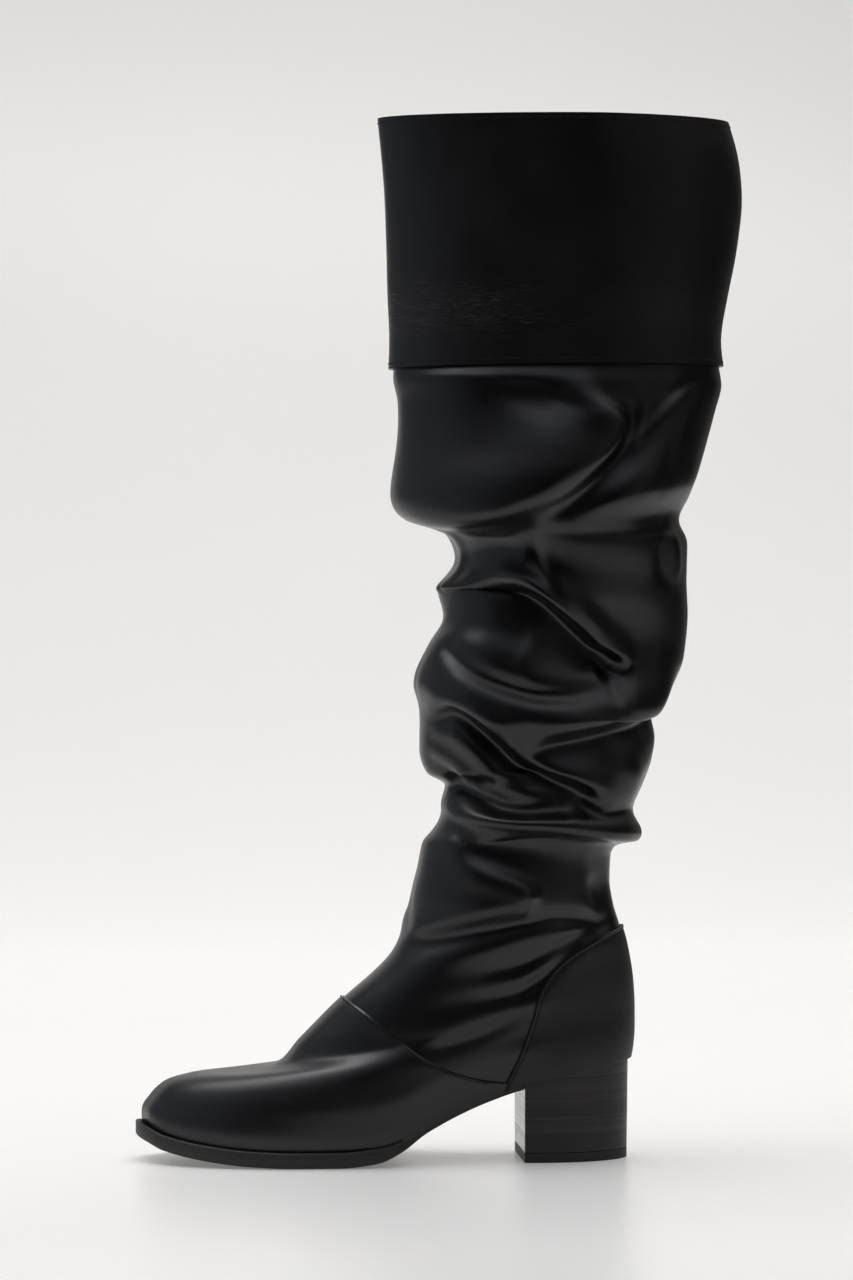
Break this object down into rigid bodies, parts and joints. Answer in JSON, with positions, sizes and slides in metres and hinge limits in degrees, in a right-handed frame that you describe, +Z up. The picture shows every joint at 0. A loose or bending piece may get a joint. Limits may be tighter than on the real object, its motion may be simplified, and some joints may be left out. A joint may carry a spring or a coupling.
{
  "type": "tall slouch boot",
  "caption": "Black over-the-knee pull-on boot with a gathered shaft, smooth wide cuff, rounded toe, stitched welt and block heel, standing empty on its sole.",
  "frame": {"origin": "on the floor plane, under the middle of the boot's box", "axes": "+Z up along the shaft, toe towards -X, outer (lateral) side towards -Y"},
  "size_m": [0.3224, 0.1116, 0.55],
  "materials": {
    "upper_leather": "satin, softly creased",
    "vamp_leather": "satin",
    "counter_leather": "satin",
    "cuff_leather": "satin",
    "welt_rubber": "matt, stitched",
    "outsole_rubber": "matt",
    "heel_stack": "satin, fine level lines",
    "top_piece_rubber": "matt",
    "insole_board": "matt"
  },
  "bodies": {
    "root": {"upper": "upper_leather", "vamp": "vamp_leather", "counter": "counter_leather", "cuff": "cuff_leather", "welt": "welt_rubber", "outsole": "outsole_rubber", "heel_block": "heel_stack", "heel_top_piece": "top_piece_rubber", "insole": "insole_board"}
  },
  "joints": []
}
